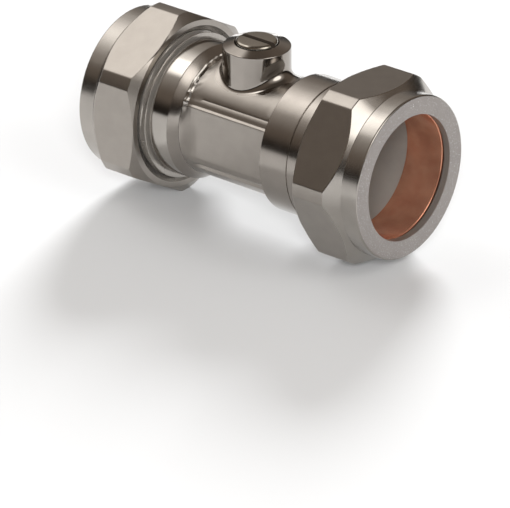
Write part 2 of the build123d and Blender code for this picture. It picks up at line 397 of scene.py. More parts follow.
def grid_rows(tree, given, columns):
    """Grid with a row for each profile point, and each grid point's row and column."""
    measured = node(tree, "GeometryNodeAttributeDomainSize", {"Geometry": given["Profile"]})
    count = measured.outputs["Point Count"]
    sides = calc(tree, "ADD", columns, 1.0)
    grid = node(tree, "GeometryNodeMeshGrid", {"Vertices X": sides, "Vertices Y": count}).outputs["Mesh"]
    index = node(tree, "GeometryNodeInputIndex").outputs["Index"]
    row = calc(tree, "FLOORED_MODULO", index, count)
    column = calc(tree, "FLOOR", calc(tree, "DIVIDE", calc(tree, "ADD", index, 0.5), count))
    return grid, row, column


def cut_thread(tree, given, along, radius, turns, mark):
    """Radius after the helix is cut where the row is marked."""
    phase = calc(tree, "SUBTRACT", calc(tree, "DIVIDE", along, given["Pitch"]), turns)
    swing = calc(tree, "COSINE", calc(tree, "MULTIPLY", phase, math.tau))
    feeds = {"Value": swing, "From Min": -0.75, "From Max": 0.75}
    groove = node(tree, "ShaderNodeMapRange", feeds, interpolation_type="SMOOTHSTEP").outputs["Result"]
    surface = calc(tree, "SUBTRACT", given["Crest"], calc(tree, "MULTIPLY", groove, given["Depth"]))
    outside = calc(tree, "MINIMUM", radius, surface)
    inside = calc(tree, "MAXIMUM", radius, calc(tree, "ADD", surface, given["Clearance"]))
    for kind, cut in ((outside_thread, outside), (inside_thread, inside)):
        chosen = calc(tree, "COMPARE", mark, kind, 0.1)
        radius = calc(tree, "MULTIPLY_ADD", chosen, calc(tree, "SUBTRACT", cut, radius), radius)
    return radius


def bend(tree, given, grid, along, radius, angle):
    """Wraps the grid round the pipe axis, welds it, and gives it its finish."""
    y, z = (calc(tree, "MULTIPLY", radius, calc(tree, kind, angle)) for kind in ("COSINE", "SINE"))
    place = node(tree, "ShaderNodeCombineXYZ", {"X": along, "Y": y, "Z": z}).outputs["Vector"]
    bent = node(tree, "GeometryNodeSetPosition", {"Geometry": grid, "Position": place}).outputs[0]
    welded = node(tree, "GeometryNodeMergeByDistance", {"Geometry": bent, "Distance": 0.0005 * mm})
    real = node(tree, "GeometryNodeRealizeInstances", {"Geometry": welded.outputs[0]}).outputs[0]
    done = node(tree, "GeometryNodeSetMaterial", {"Geometry": real, "Material": given["Finish"]})
    output = tree.nodes.new("NodeGroupOutput")
    tree.links.new(done.outputs[0], output.inputs["Piece"])


# %% [markdown]
# ## A lathe made of nodes
# With the helpers the lathe is short: it reads the profile row by row and turns it through a full
# circle. Its inputs are the steps round and the sizes of the thread.

# %% Build the lathe tree
def lathe_tree():
    """Tree that turns a profile round the pipe axis and cuts the thread."""
    tree, given = tree_with("lathe", (("Steps", "Int"), *thread_sizes))
    grid, row, column = grid_rows(tree, given, given["Steps"])
    stored = read_row(tree, given, row, "place", "FLOAT_VECTOR")
    place = node(tree, "ShaderNodeSeparateXYZ", {0: stored}).outputs
    turns = calc(tree, "DIVIDE", column, given["Steps"])
    mark = read_row(tree, given, row, "thread", "FLOAT")
    radius = cut_thread(tree, given, place["X"], place["Z"], turns, mark)
    bend(tree, given, grid, place["X"], radius, calc(tree, "MULTIPLY", turns, math.tau))
    return tree


lathe = lathe_tree()
print("lathe tree:", len(lathe.nodes), "nodes")

# %% [markdown]
# ## From a tree to a plain piece
# A finished piece is a plain mesh with its place in its vertices. The profile becomes a small wire
# object, the tree runs on it once, and the result is copied out. Tidying merges doubles, removes loose
# wires, closes the slivers that a Boolean leaves and points the faces outwards. Weighted normals then
# keep broad faces flat while the small arcs stay bright. They take areas that differ by less than 0.01
# as equal. In metres all the faces of a valve would be, so the mesh is enlarged to millimetres first.

# %% Run a tree and tidy its mesh
def wire(name, places, attributes):
    """Wire object through the places, with named values on its points."""
    mesh = bpy.data.meshes.new(name)
    edges = [(k, k + 1) for k in range(len(places) - 1)]
    mesh.from_pydata([(x * mm, 0, r * mm) for x, r in places], edges, [])
    for label, (kind, values) in attributes.items():
        stored = mesh.attributes.new(label, kind, "POINT")
        stored.data.foreach_set("vector" if kind == "FLOAT_VECTOR" else "value", np.ravel(values))
    return added(name, mesh)


def baked(piece):
    """Replaces the piece's mesh by what its modifiers make of it, and removes them."""
    graph = bpy.context.evaluated_depsgraph_get()
    graph.update()
    mesh = bpy.data.meshes.new_from_object(piece.evaluated_get(graph))
    piece.modifiers.clear()
    piece.data = mesh
    mesh.name = piece.name
    return piece


def run_tree(piece, tree, values):
    """Runs the tree on the piece with inputs given by name, and keeps the result as a plain mesh."""
    modifier = piece.modifiers.new(tree.name, "NODES")
    modifier.node_group = tree
    for item in tree.interface.items_tree:
        if item.item_type == "SOCKET" and item.in_out == "INPUT" and item.name in values:
            modifier[item.identifier] = values[item.name]
    return baked(piece)


sharp_angle = math.radians(32)
double_distance = 0.0008 * mm


def tidied(piece):
    """Merges doubles, points the faces outwards, and shades edges sharper than the angle as edges."""
    shell = bmesh.new()
    shell.from_mesh(piece.data)
    bmesh.ops.remove_doubles(shell, verts=shell.verts, dist=double_distance)
    bmesh.ops.dissolve_degenerate(shell, edges=shell.edges, dist=double_distance)
    wires = [edge for edge in shell.edges if edge.is_wire]
    bmesh.ops.delete(shell, geom=wires, context="EDGES")
    bmesh.ops.holes_fill(shell, edges=[edge for edge in shell.edges if edge.is_boundary])
    bmesh.ops.recalc_face_normals(shell, faces=shell.faces)
    open_edges = sum(not edge.is_manifold for edge in shell.edges)
    for face in shell.faces:
        face.smooth = True
    shell.to_mesh(piece.data)
    shell.free()
    if "custom_normal" in piece.data.attributes:
        piece.data.attributes.remove(piece.data.attributes["custom_normal"])
    piece.data.set_sharp_from_angle(angle=sharp_angle)
    piece.data.transform(Matrix.Scale(1 / mm, 4))
    weighted = piece.modifiers.new("weighted", "WEIGHTED_NORMAL")
    weighted.keep_sharp = True
    baked(piece)
    piece.data.transform(Matrix.Scale(mm, 4))
    print(piece.name, len(piece.data.polygons), "faces,", open_edges, "open edges")
    return piece


common = {
    "Pitch": thread_pitch * mm,
    "Crest": thread_crest * mm,
    "Depth": thread_depth * mm,
    "Clearance": thread_clearance * mm,
}


def turned(name, outline, finish, steps=192, thread=None):
    """Closed outline turned round the pipe axis; thread is (start, end, kind) along the axis."""
    rows, marks = thread_rows(outline, *thread) if thread else (outline, np.zeros(len(outline)))
    places = np.column_stack((rows[:, 0], np.zeros(len(rows)), rows[:, 1])) * mm
    piece = wire(name, rows, {"place": ("FLOAT_VECTOR", places), "thread": ("FLOAT", marks)})
    return tidied(run_tree(piece, lathe, {"Steps": steps, "Finish": finish, **common}))


# %% [markdown]
# ## Two finishes on one piece
# A bore is duller than the outside, and a face cut across the bar shows its rings. The faces are picked
# by their place: how far along the pipe axis they are, and how far from it.

# %% Helper for a second finish
def finish_where(piece, finish, chosen):
    """Gives another finish to the faces whose middle, in millimetres, is chosen."""
    piece.data.materials.append(finish)
    number = len(piece.data.materials) - 1
    faces = [face for face in piece.data.polygons if chosen(*(face.center / mm))]
    for face in faces:
        face.material_index = number
    print(piece.name, "has", len(faces), "faces with", finish.name)


def in_socket(x, y, z):
    """Inside of a pipe socket, down to its stop, and the cone at its mouth."""
    off_axis = math.hypot(y, z)
    return off_axis < socket_r + 0.2 or (abs(x) > cone_start_x and off_axis < mouth_r + 0.02)


# %% [markdown]
# ## The threaded ends
# Each end is a socket for the pipe with a thread outside. The right end is one piece with the connector
# that screws into the body: a satin collar, a fine groove and a plain band up to the nut. The left end
# is part of the body but is made here as a ring of its own, because it comes off the lathe too. Its
# collar is brighter, and its thread starts inside the nut.

# %% Turn the two threaded ends
socket_r = 11.1
waterway_r = 5.4
collar_r = 12.15
stop_x = 12.99
cone_start_x = 20.72
thread_end_x = 22.65
mouth_r = 12.21
edge = 0.12


def end_outline(inner, collar_start, collar_end, taper, groove, band_end):
    """Outline of one end: inner corners, out along the collar and thread, and back down the socket."""
    groove_start, groove_end, groove_r = groove
    return rounded(
        [
            *inner,
            (collar_start, collar_r - taper, edge),
            (collar_end, collar_r + taper, edge),
            (collar_end + groove_start, groove_r, 0.05),
            (collar_end + groove_end, groove_r, 0.05),
            *band_end,
            (thread_end_x - 0.7, thread_crest),
            (thread_end_x, thread_crest - 0.75),
            (thread_end_x, mouth_r),
            (cone_start_x, socket_r),
            (stop_x, socket_r),
            (stop_x, waterway_r + 0.5),
            (stop_x - 0.5, waterway_r),
        ]
    )


inner_end_x, inner_r, joint_x = 4.416, 8.57, 7.816
right_inner = [(inner_end_x, waterway_r), (inner_end_x, inner_r, 0.3), (joint_x, inner_r)]
right_collar_end, band_start, band_end = 13.616, 13.916, 17.916
right_outline = end_outline(
    right_inner,
    joint_x,
    right_collar_end,
    0.0,
    (0.08, 0.22, collar_r - 0.2),
    [(band_start, collar_r, 0.05), (band_end, collar_r), (band_end + 0.7, thread_crest)],
)
right_thread = (band_end, thread_end_x + 0.01, outside_thread)
connector = turned("threaded_connector", right_outline, turned_plate, thread=right_thread)
finish_where(connector, bore_plate, in_socket)

shoulder_x, left_collar_end, neck_start, neck_end, nut_side_x = 12.79, 16.19, 16.25, 16.79, 17.75
left_outline = end_outline(
    [(shoulder_x, waterway_r)],
    shoulder_x,
    left_collar_end,
    0.1,
    (0.06, 0.54, collar_r - 0.3),
    [(neck_end, thread_crest, 0.12), (nut_side_x, thread_crest)],
) * (-1, 1)
left_thread = (-thread_end_x - 0.01, -nut_side_x, outside_thread)
left_end = turned("left_threaded_end", left_outline, bright_plate, thread=left_thread)
finish_where(left_end, bore_plate, in_socket)
finish_where(left_end, neck_plate, lambda x, y, z: x < -neck_start)

# %% [markdown]
# ## The compression nuts
# A nut is a hexagon with its corners turned off: a bevel at each end, a round nose at the front, and a
# narrow round land where the full diameter of the bar is left. A box with bevels can't give the
# curved line where the bevel meets a flat. The tree below mixes two profiles instead, one through the
# middle of a flat and one through a corner. How much of each depends on how far the hexagon stands
# out in that direction, and everything between them is a straight mix. The columns crowd at the corners.

# %% Build the nut tree
nut_flat_r = 15.15
nut_corner_r = 16.85
column_crowding = ((0.0, 0.0), (0.3, 0.76), (0.4, 0.82), (0.75, 0.9), (0.9, 0.955), (1.0, 1.0))


def crowd(tree, way):
    """Maps -1 to 1 across a side of the hexagon to the same span with columns crowded at the corners."""
    curve = node(tree, "ShaderNodeFloatCurve", {"Value": calc(tree, "ABSOLUTE", way)})
    line = curve.mapping.curves[0]
    line.points[0].location, line.points[1].location = column_crowding[0], column_crowding[-1]
    for place in column_crowding[1:-1]:
        line.points.new(*place)
    for point in line.points:
        point.handle_type = "VECTOR"
    curve.mapping.update()
    return calc(tree, "MULTIPLY", curve.outputs["Value"], calc(tree, "SIGN", way))


def nut_tree():
    """Tree that mixes a flat's and a corner's profile round a hexagon."""
    sizes = [(name, "Float") for name in ("Flat", "Corner", "Soften", "Turn")]
    tree, given = tree_with("hexagon_nut", (("Side_steps", "Int"), *sizes, *thread_sizes))
    steps = given["Side_steps"]
    grid, row, column = grid_rows(tree, given, calc(tree, "MULTIPLY", steps, 6.0))
    side = calc(tree, "FLOOR", calc(tree, "DIVIDE", calc(tree, "ADD", column, 0.5), steps))
    past_corner = calc(tree, "SUBTRACT", column, calc(tree, "MULTIPLY", side, steps))
    within = calc(tree, "DIVIDE", past_corner, steps)
    swing = crowd(tree, calc(tree, "MULTIPLY_ADD", within, 2.0, -1.0))
    local = calc(tree, "MULTIPLY", swing, math.pi / 6)
    hexagon = calc(tree, "DIVIDE", given["Flat"], calc(tree, "COSINE", local))
    reach = calc(tree, "SMOOTH_MIN", hexagon, given["Corner"], given["Soften"])
    span = calc(tree, "SUBTRACT", given["Corner"], given["Flat"])
    share = calc(tree, "DIVIDE", calc(tree, "SUBTRACT", reach, given["Flat"]), span)
    flat = read_row(tree, given, row, "place", "FLOAT_VECTOR")
    corner = read_row(tree, given, row, "corner_place", "FLOAT_VECTOR")
    mix = node(tree, "ShaderNodeMix", {"Factor": share}, data_type="VECTOR", clamp_factor=False)
    tree.links.new(flat, mix.inputs["A"])
    tree.links.new(corner, mix.inputs["B"])
    place = node(tree, "ShaderNodeSeparateXYZ", {0: mix.outputs["Result"]}).outputs
    sixth = calc(tree, "MULTIPLY", side, math.pi / 3)
    angle = calc(tree, "ADD", calc(tree, "ADD", sixth, local), given["Turn"])
    mark = read_row(tree, given, row, "thread", "FLOAT")
    radius = cut_thread(tree, given, place["X"], place["Z"], calc(tree, "DIVIDE", angle, math.tau), mark)
    bend(tree, given, grid, place["X"], radius, angle)
    return tree


nut_maker = nut_tree()
print("nut tree:", len(nut_maker.nodes), "nodes")

# %% [markdown]
# The two profiles of a nut have the same points in the same order, so the tree can mix them. Only the
# outside differs. The inside has the thread, a cone that squeezes the copper ring, and the lip.

# %% Draw a nut's two outlines
nut_back_x, nut_front_x = nut_side_x, 30.75
nose_back_x, nose_r = 27.45, 14.5
front_bevel, back_bevel = 2.153, 1.011
lip_x, cavity_r = 29.5, 13.1
thread_bottom_x = 26.05


def nut_outline(flat_r, bevel_share):
    """Outline of a nut in one direction: 0 is through the middle of a flat, 1 through a corner."""
    back_x = nut_back_x + back_bevel * bevel_share
    front_x = nose_back_x - (flat_r - nose_r) * front_bevel / (nut_corner_r - nose_r)
    end_r = nut_flat_r + 0.05 * bevel_share
    outside = [
        (nut_back_x, end_r - 0.12),
        (nut_back_x + 0.03, end_r - 0.04),
        (back_x + 0.12, flat_r - 0.03 - 0.02 * bevel_share),
        (back_x + 0.26, flat_r),
        (front_x - 0.14, flat_r),
        (front_x - 0.03, flat_r - 0.03),
        (front_x + 0.08, flat_r - 0.12),
        (nose_back_x - 0.05, nose_r + 0.07),
        (nose_back_x + 0.07, nose_r),
    ]
    nose = [
        np.array((nut_front_x - 0.35 + 0.35 * math.sin(a), nose_r - 0.35 + 0.35 * math.cos(a)))
        for a in np.linspace(0, math.pi / 2, 6)
    ]
    inside = [
        (nut_front_x, socket_r + 0.2),
        (nut_front_x - 0.06, socket_r + 0.05),
        (nut_front_x - 0.2, socket_r),
        (lip_x, socket_r),
        (lip_x - (cavity_r - socket_r), cavity_r),
        (thread_bottom_x, cavity_r),
        (thread_bottom_x - 0.5, thread_crest - thread_depth + 0.03),
        (nut_back_x + 1.4, thread_crest - thread_depth + 0.03),
        (nut_back_x, 14.1),
    ]
    return np.array([*outside, *nose, *inside, outside[0]])


# %% [markdown]
# The front of a nut is a cut face with tiny torn spots, and the short bore behind it has a dull film.
# The nose and the bevels were turned, so they shine more than the flats of the drawn bar. Each nut
# was tightened to an angle of its own.

# %% Make the two nuts
def nut(name, sign, turn_degrees, finish):
    """Nut at the right end for sign 1, at the left end for sign -1."""
    flat, corner = nut_outline(nut_flat_r, 0.0), nut_outline(nut_corner_r, 1.0)
    limits = (nut_back_x - 0.01, thread_bottom_x + 0.01, inside_thread)
    flat_rows, marks = thread_rows(flat, *limits)
    corner_rows, _ = thread_rows(corner, *limits)
    places, corners = (
        np.column_stack((sign * rows[:, 0], np.zeros(len(rows)), rows[:, 1])) * mm
        for rows in (flat_rows, corner_rows)
    )
    values = {
        "place": ("FLOAT_VECTOR", places),
        "corner_place": ("FLOAT_VECTOR", corners),
        "thread": ("FLOAT", marks),
    }
    sizes = {
        "Side_steps": 34,
        "Flat": nut_flat_r * mm,
        "Corner": nut_corner_r * mm,
        "Soften": 0.12 * mm,
        "Turn": math.radians(turn_degrees),
        "Finish": finish,
    }
    return tidied(run_tree(wire(name, flat_rows, values), nut_maker, {**sizes, **common}))


def nut_ends(x, y, z):
    """The flat face at the front of a nut, and its lip."""
    return abs(x) > nut_front_x - 0.02 or (abs(x) > lip_x and math.hypot(y, z) < nose_r - 1)


def nut_lip(x, y, z):
    """The short bore at the front of a nut."""
    return abs(x) > lip_x and math.hypot(y, z) < socket_r + 0.03


def nut_turning(x, y, z):
    """The nose and the bevels, which the lathe cut and the hexagon bar didn't have."""
    bevel_start = nose_back_x - front_bevel - 0.05
    off_axis = math.hypot(y, z)
    cone_r = nose_r + (nose_back_x - abs(x)) * (nut_corner_r - nose_r) / front_bevel
    on_bevel = abs(x) > bevel_start and off_axis > cone_r - 0.12
    on_nose = abs(x) > nose_back_x - 0.05
    return not nut_ends(x, y, z) and off_axis > nose_r - 0.4 and (on_nose or on_bevel)


def nut_back(x, y, z):
    """The inside of a nut's back mouth and the first of its thread."""
    return abs(x) < nut_back_x + 1.5 and math.hypot(y, z) < 14.3


right_nut = nut("right_compression_nut", 1, -31.7, hexagon_plate)
left_nut = nut("left_compression_nut", -1, 0.7, hexagon_plate)
for piece in (right_nut, left_nut):
    finish_where(piece, face_plate, nut_ends)
    finish_where(piece, lip_plate, nut_lip)
    finish_where(piece, nose_plate, nut_turning)
    finish_where(piece, neck_plate, nut_back)

# %% [markdown]
# ## The copper rings
# A soft copper ring in each nut bites on the pipe when the nut is tightened. It has a straight bore, a
# narrow land and a cone towards each end.

# %% Turn the copper rings
ring_back_x, ring_front_x = 21.47, 29.07
ring_end_r, ring_outer_r, ring_cone = 11.45, 12.15, 2.3


def copper_ring(name, sign):
    """Copper ring at the right end for sign 1, at the left end for sign -1."""
    corners = [
        (ring_back_x, socket_r, 0.15),
        (ring_back_x, ring_end_r, 0.1),
        (ring_back_x + ring_cone, ring_outer_r, 0.5),
        (ring_front_x - ring_cone, ring_outer_r, 0.5),
        (ring_front_x, ring_end_r, 0.1),
        (ring_front_x, socket_r, 0.15),
    ]
    return turned(name, rounded(corners) * (sign, 1), copper)


right_ring = copper_ring("right_copper_ring", 1)
left_ring = copper_ring("left_copper_ring", -1)

# %% [markdown]
# ## The stamped body
# Hot brass was pressed between two dies that met in the plane of the tower. That gives the barrel its
# soft skin, the two flat pads on its sides and a rough bead where metal squeezed out round the left
# rim. The tower was turned smooth afterwards. Joining a cylinder to another one with a Boolean leaves
# no room for the soft foot of the tower. So the barrel is a grid of rows and columns with a window
# in it, and rays run from the window's edge in to the foot, up the tower's wall and over its top.

# %% Sizes of the stamped body
barrel_r = 10.6
barrel_end_x = joint_x
ball_x = -2.6
pad_y = 9.4
rim_start_x, rim_foot_x, rim_end_x = -9.39, -10.25, -11.09
rim_r = 11.1
shoulder_end_x = -shoulder_x
tower_r, tower_bore_r = 5.94, 3.9
tower_edge_z, tower_top_z = 15.24, 15.84
foot_roundings = {"front": 0.8, "left": 1.2, "right": 2.1}
window_left, window_right, window_angle = -10.2, 6.3, 50

# %% [markdown]
# The columns crowd where the beads of the pads run, and at the parting line on top. The rows crowd at
# the rim.

# %% Rows and columns of the barrel
side_angles = [0, 0.35, 0.7, 1.1, 1.7, 2.8, 4.5, *np.arange(6.5, 50.1, 43.5 / 18)]
pad_angles = [52.5, 55, 57, 58.2, 59, 59.5, 59.9, 60.3, 60.8, 61.3, 61.8, 62.2, 62.55, 62.8, 62.97]
pad_angles += [63.08, 63.18, 63.28, 63.4, 63.6, 64, 64.8, 66, 69, 73, 77, 81, 85.5, 90]
lower_angles = [95, 99, 103, 107, 110, 112, 113.5, 114.7, 115.6, 116.4, 117.2, 118, 118.8, 119.6, 120.6]
lower_angles += [122, 124, *np.linspace(126.5, 180, 20)]
half_columns = np.array([*side_angles, *pad_angles, *lower_angles])
column_angles = np.concatenate((half_columns, -half_columns[-2:0:-1]))
row_corners = [
    (barrel_end_x, 0),
    (barrel_end_x, barrel_r, 0.3),
    (rim_start_x, barrel_r, 0.5),
    (rim_foot_x, barrel_r + 0.1, 0.1),
    (rim_foot_x - 0.25, rim_r, 0.2),
    (rim_end_x, rim_r, 0.2),
    (rim_end_x - 0.1, rim_r - 0.4, 0.1),
    (shoulder_end_x, collar_r, 0.06),
    (shoulder_end_x, 0),
]


def barrel_rows():
    """Skin line of the barrel from its right end to its left end, with close rows along the barrel."""
    line = rounded(row_corners, 5)[1:-2]
    rows = []
    for here, after in zip(line[:-1], line[1:]):
        count = max(1, math.ceil(abs(after[0] - here[0]) / 0.62))
        rows += [here + (after - here) * k / count for k in range(count)]
    rows.append(line[-1])
    rows = np.array(rows)
    for window_x in (window_left, window_right):
        nearest = np.argmin(abs(rows[:, 0] - window_x))
        skin = np.interp(-window_x, -rows[:, 0], rows[:, 1])
        rows[nearest] = (window_x, skin)
    return rows


rows = barrel_rows()
print("barrel:", len(rows), "rows by", len(column_angles), "columns")

# %% [markdown]
# A pad is a flat with a small raised bead along its upper edge, where the die was split. Its outline
# across the barrel is drawn once and read as a radius for each direction.

# %% Shape of the pads, the bead and the rough rim
pad_corners = [
    (0, barrel_r),
    (8.6, 6.2),
    (9.16, 5.34, 0.25),
    (9.62, 5.12, 0.12),
    (9.67, 4.86, 0.1),
    (pad_y, 4.72, 0.06),
    (pad_y, -4.3, 1.2),
    (9.05, -5.52, 0.8),
    (0, -barrel_r),
]


def pad_radius():
    """Directions from the top, in degrees, and the pad's radius in each."""
    outline = rounded(pad_corners, 7)[:-1]
    shares = np.linspace(0, 1, 20)[:, None]
    dense = np.concatenate([a + (b - a) * shares for a, b in zip(outline[:-1], outline[1:])])
    angles = np.degrees(np.arctan2(dense[:, 0], dense[:, 1]))
    order = np.argsort(angles)
    return angles[order], np.hypot(dense[:, 0], dense[:, 1])[order]


pad_directions, pad_radii = pad_radius()


def smooth(value):
    """Soft step from 0 to 1."""
    value = np.clip(value, 0, 1)
    return value * value * (3 - 2 * value)


def lumps(along, round_, seed, count=24):
    """Smooth unevenness from -1 to 1 that joins up round the barrel."""
    rng = np.random.default_rng(seed)
    total = 0
    for _ in range(count):
        waves, tilt = rng.integers(14, 62), rng.uniform(-2.5, 2.5)
        total = total + np.sin(waves * round_ + tilt * along + rng.uniform(0, math.tau))
    return total / math.sqrt(count)


pad_from, pad_to, pad_fade = 52, 128, 3.0
pad_least_r = 10.3
rim_fade_from, rim_fade, lumps_fade_to = 62, 6, 66
ridge_from_x, ridge_spread, flash_height = 3.2, 0.75, 0.1


def skin(along, angle, plain):
    """Radius of the barrel's skin: pads, parting line and rough rim on the plain radius."""
    turn = np.radians(angle)
    off_top = abs((np.degrees(turn) + 180) % 360 - 180)
    pad = np.interp(off_top, pad_directions, pad_radii)
    on_side = (off_top > pad_from) & (off_top < pad_to)
    share = smooth((along - rim_end_x) / pad_fade) * on_side
    below_rim = smooth((off_top - rim_fade_from) / rim_fade) * (along > rim_end_x - 0.2)
    plain = plain + (np.minimum(plain, barrel_r + 0.1) - plain) * below_rim
    radius = plain + (np.where(on_side, pad, plain) - plain) * share * (plain > pad_least_r)
    ridge = np.exp(-((off_top / ridge_spread) ** 2)) * smooth(along - ridge_from_x)
    ridge = ridge * smooth((barrel_end_x - along) / 0.5)
    rough = smooth((rim_foot_x + 0.2 - along) / 0.3) * smooth((along - rim_end_x + 0.25) / 0.3)
    bead = flash_height * rough * lumps(along, turn, 5) * smooth((lumps_fade_to - off_top) / 5)
    return radius + flash_height * ridge + bead


def on_skin(along, angle, plain):
    """Point of the skin; angle is from straight up towards the front, in degrees."""
    radius = skin(along, angle, plain)
    turn = np.radians(angle)
    return np.stack(np.broadcast_arrays(along, -radius * np.sin(turn), radius * np.cos(turn)), -1)


bead_height = pad_radii.max() - barrel_r
print("pad depth", round(barrel_r - pad_y, 2), "mm, bead", round(bead_height, 2), "mm proud")

# %% [markdown]
# The foot of the tower is an arc that touches both the wall and the barrel. Where it touches changes
# round the tower, because the barrel falls away at the sides, so it is found for each ray.

# %% Rays of the tower
def plain_radius(along):
    """Radius of the barrel's skin line at a place along the axis."""
    return np.interp(-along, -rows[:, 0], rows[:, 1])


def drop(reach, way):
    """Height of the barrel's skin at a distance from the tower's centre line, along a direction."""
    radius = plain_radius(ball_x + reach * way[0])
    return math.sqrt(radius**2 - (reach * way[1]) ** 2)


def foot_size(way):
    """Rounding of the foot in a direction from the tower's centre line: larger along the pipe."""
    along_pipe = foot_roundings["right" if way[0] > 0 else "left"]
    return foot_roundings["front"] + (along_pipe - foot_roundings["front"]) * way[0] ** 2


def foot_arc(way, steps=8):
    """Points (distance, height) of the foot's arc, from the barrel up to the wall."""
    foot_rounding = foot_size(way)
    centre_reach = tower_r + foot_rounding
    touch = centre_reach
    for _ in range(4):
        slope = (drop(touch + 0.01, way) - drop(touch - 0.01, way)) / 0.02
        lean = math.hypot(1, slope)
        touch = centre_reach + foot_rounding * slope / lean
    height = drop(touch, way) + foot_rounding / lean
    first = math.atan2(-1 / lean, slope / lean)
    centre = np.array((centre_reach, height))
    angles = np.linspace(first, -math.pi, steps)
    return [centre + foot_rounding * np.array((math.cos(a), math.sin(a))) for a in angles]


def ray_points(start):
    """Points from the window's edge at start in to the foot, up the wall and in over the top."""
    flat = np.array((start[0] - ball_x, start[1]))
    reach = np.linalg.norm(flat)
    way = flat / reach
    foot = foot_arc(way)
    outer = []
    for share in np.linspace(0, 1, 7)[1:-1] ** 0.8:
        distance = reach + (foot[0][0] - reach) * share
        x, y = ball_x + distance * way[0], distance * way[1]
        plain = plain_radius(x)
        angle = math.degrees(math.asin(np.clip(-y / plain, -1, 1)))
        radius = skin(np.array(x), np.array(angle), plain)
        outer.append((x, y, math.sqrt(radius**2 - y**2)))
    wall_bottom, wall_top = foot[-1][1], tower_edge_z - 0.2
    wall = [(tower_r, wall_bottom + (wall_top - wall_bottom) * k / 8) for k in range(1, 8)]
    edge_corners = [(tower_r, tower_edge_z, 0.2), (tower_bore_r + 0.1, tower_top_z, 0.1)]
    top = rounded([(tower_r, wall_bottom), *edge_corners, (0, tower_top_z)], 4)[1:-2]
    upright = [(ball_x + r * way[0], r * way[1], z) for r, z in (*foot, *wall, *top)]
    return outer + upright


# %% [markdown]
# The window's edge is a ring of grid points. Each ray starts at one of them, so the patch and the
# grid share their points and no seam is left.

# %% Weld the barrel and the tower into one shell
def window_ring(in_window, total_columns):
    """Grid places (row, column) round the window, in order."""
    top, bottom = in_window[0], in_window[-1]
    half = int(np.argmin(abs(half_columns - window_angle)))
    columns = [(k % total_columns) for k in range(-half, half + 1)]
    ring = [(top, c) for c in columns]
    ring += [(r, columns[-1]) for r in in_window[1:-1]]
    ring += [(bottom, c) for c in reversed(columns)]
    ring += [(r, columns[0]) for r in reversed(in_window[1:-1])]
    return ring, half


def stamped_shell():
    """Points and faces of the barrel with its tower, closed at both ends."""
    total = len(column_angles)
    grid = np.array([on_skin(x, column_angles, r) for x, r in rows])
    points = [tuple(p) for p in grid.reshape(-1, 3)]
    inside = [k for k, (x, _) in enumerate(rows) if window_left - 1e-6 <= x <= window_right + 1e-6]
    ring, half = window_ring(inside, total)
    faces = []
    for k in range(len(rows) - 1):
        for c in range(total):
            past = (c + 1) % total
            covered = inside[0] <= k < inside[-1] and (c < half or c >= total - half)
            if not covered:
                low, high = k * total, (k + 1) * total
                faces.append([low + c, low + past, high + past, high + c])
    rays = []
    for row, column in ring:
        ray = [row * total + column]
        for place in ray_points(points[ray[0]]):
            points.append(tuple(place))
            ray.append(len(points) - 1)
        rays.append(ray)
    for here, after in zip(rays, rays[1:] + rays[:1]):
        faces += [[here[k], after[k], after[k + 1], here[k + 1]] for k in range(len(here) - 1)]
    for tip, loop in (
        ((ball_x, 0, tower_top_z), [ray[-1] for ray in rays]),
        ((barrel_end_x, 0, 0), list(range(total))),
        ((shoulder_end_x, 0, 0), [(len(rows) - 1) * total + c for c in range(total)]),
    ):
        points.append(tip)
        centre = len(points) - 1
        faces += [[centre, loop[k], loop[(k + 1) % len(loop)]] for k in range(len(loop))]
    return np.array(points) * mm, faces


def piece_from(name, points, faces, finish):
    """Object made of points in metres and faces, with one finish."""
    mesh = bpy.data.meshes.new(name)
    mesh.from_pydata([tuple(p) for p in points], [], faces)
    mesh.materials.append(finish)
    return added(name, mesh)


stamped_body = piece_from("stamped_body", *stamped_shell(), stamped_plate)

# %% [markdown]
# ## Bore the body
# The ball's chamber and the waterway run through the barrel, and the spindle's bore runs down the
# tower to a wider pocket for its flange. The hollows are turned shapes taken away with an exact
# Boolean. That needs a closed shell whose faces all point outwards, so the shell is tidied before the
# cut as well as after it.

# %% Cut the hollows
def upright(piece):
    """Stands a piece that was turned round the pipe axis on the spindle's centre line."""
    raised = Matrix.Rotation(-math.pi / 2, 4, "Y")
    piece.data.transform(Matrix.Translation((ball_x * mm, 0, 0)) @ raised)
    return piece


def cut(piece, *tools):
    """Takes the tools away from the piece and removes them."""
    for tool in tools:
        boolean = piece.modifiers.new("cut", "BOOLEAN")
        boolean.operation, boolean.solver, boolean.object = "DIFFERENCE", "EXACT", tool
        baked(piece)
        bpy.data.objects.remove(tool)
    return piece


connector_bore_r, connector_end_x = 8.62, 2.816
chamber_r, chamber_end_x = 8.15, -9.616
flange_pocket_r, flange_pocket_z = 4.9, 9.9
tool_steps = 96
chamber_corners = [
    (barrel_end_x + 1, 0),
    (barrel_end_x + 1, connector_bore_r),
    (connector_end_x, connector_bore_r),
    (connector_end_x, chamber_r),
    (chamber_end_x, chamber_r),
    (chamber_end_x, waterway_r),
    (-12.3, waterway_r),
    (-13.5, waterway_r + 0.02),
    (-13.5, 0),
]
hollow_corners = [
    (0, 0),
    (0, flange_pocket_r),
    (flange_pocket_z, flange_pocket_r),
    (flange_pocket_z, tower_bore_r),
    (17, tower_bore_r),
    (17, 0),
]
chamber, spindle_hollow = (
    turned(name, rounded(corners), turned_plate, tool_steps)
    for name, corners in (("chamber_tool", chamber_corners), ("spindle_hollow_tool", hollow_corners))
)
upright(spindle_hollow)
tidied(stamped_body)
cut(stamped_body, chamber, spindle_hollow)
tidied(stamped_body)

# %% [markdown]
# ## The tower's polish
# The tower and the bores were machined after stamping, so they take a smoother finish than the
# barrel. The faces are picked by their place: above the foot, or closer to the axis than the skin.

